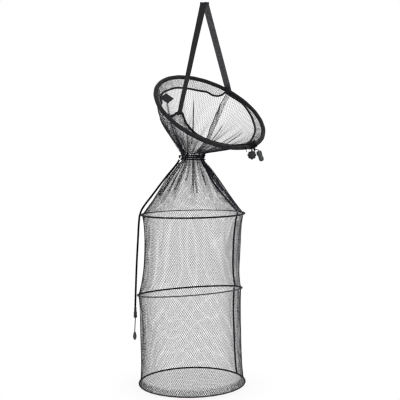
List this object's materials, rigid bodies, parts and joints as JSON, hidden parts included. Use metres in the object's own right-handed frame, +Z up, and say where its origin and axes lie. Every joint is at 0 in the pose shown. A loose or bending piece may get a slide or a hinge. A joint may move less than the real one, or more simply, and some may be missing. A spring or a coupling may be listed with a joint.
{
  "type": "keep net",
  "caption": "Hanging collapsible fishing keep net: webbing strap, tilted padded mouth hoop with drawcord collar, gathered neck, hooped mesh body and netted base.",
  "frame": {"origin": "underside of the strap's top fold, where the net hangs on a hook, peg or bar", "axes": "+Z up along the hanging net, +Y away from the viewer of the front, +X to the viewer's right"},
  "size_m": [0.4079, 0.3759, 1.173],
  "materials": {
    "webbing": "matte",
    "netting": "matte",
    "binding": "matte",
    "cord": "matte",
    "label_cloth": "matte",
    "plastic": "satin",
    "hoop_steel": "satin",
    "spring_steel": "satin"
  },
  "bodies": {
    "strap": {"strap_webbing": "webbing"},
    "mouth": {"mouth_hoop_rod": "hoop_steel", "mouth_hoop_sleeve": "binding", "collar_net": "netting", "collar_edge_cord": "binding", "label_tag": "label_cloth", "upper_net": "netting", "upper_net_seam": "binding", "neck_drawcord": "cord", "neck_knot": "cord", "cone_net": "netting", "cone_seam": "binding", "drawcord_upper_a": "cord", "drawcord_upper_b": "cord", "collar_cord_a": "cord", "collar_cord_b": "cord", "collar_cord_c": "cord", "collar_cord_bell": "plastic", "lock_body": "plastic", "lock_spring": "spring_steel"},
    "lock_button": {"lock_plunger": "plastic"},
    "ring_1": {"ring_1_wire": "hoop_steel", "ring_1_hem": "binding", "wall_net_1": "netting", "wall_seam_1": "binding", "drawcord_hanging_a": "cord", "drawcord_hanging_b": "cord", "drawcord_stopper": "plastic", "drawcord_tail": "cord", "drawcord_end_bell": "plastic"},
    "ring_2": {"ring_2_wire": "hoop_steel", "ring_2_hem": "binding", "wall_net_2": "netting", "wall_seam_2": "binding"},
    "base": {"base_ring_wire": "hoop_steel", "base_ring_hem": "binding", "base_net": "netting"}
  },
  "joints": [
    {"name": "mouth_swing", "type": "hinge", "parent": "strap", "child": "mouth", "pos_m": [-0.07407, -0.12495, -0.34034], "axis": [0.4617, 0.8313, 0.3096], "range_deg": [-45, 45]},
    {"name": "lock_press", "type": "slide", "parent": "mouth", "child": "lock_button", "axis": [0, 1, 0], "range_m": [0, 0.0025], "stiffness_N_per_m": 200, "springref_m": -0.004, "deforming": ["lock_spring"]},
    {"name": "ring_1_lift", "type": "slide", "parent": "mouth", "child": "ring_1", "axis": [0, 0, 1], "range_m": [0, 0.12], "deforming": ["cone_net", "cone_seam", "drawcord_upper_a", "drawcord_upper_b"]},
    {"name": "ring_2_lift", "type": "slide", "parent": "ring_1", "child": "ring_2", "axis": [0.041, 0, 0.9992], "range_m": [0, 0.2], "deforming": ["wall_net_1", "wall_seam_1"]},
    {"name": "base_lift", "type": "slide", "parent": "ring_2", "child": "base", "axis": [-0.0252, 0, 0.9997], "range_m": [0, 0.23], "deforming": ["wall_net_2", "wall_seam_2"]}
  ]
}
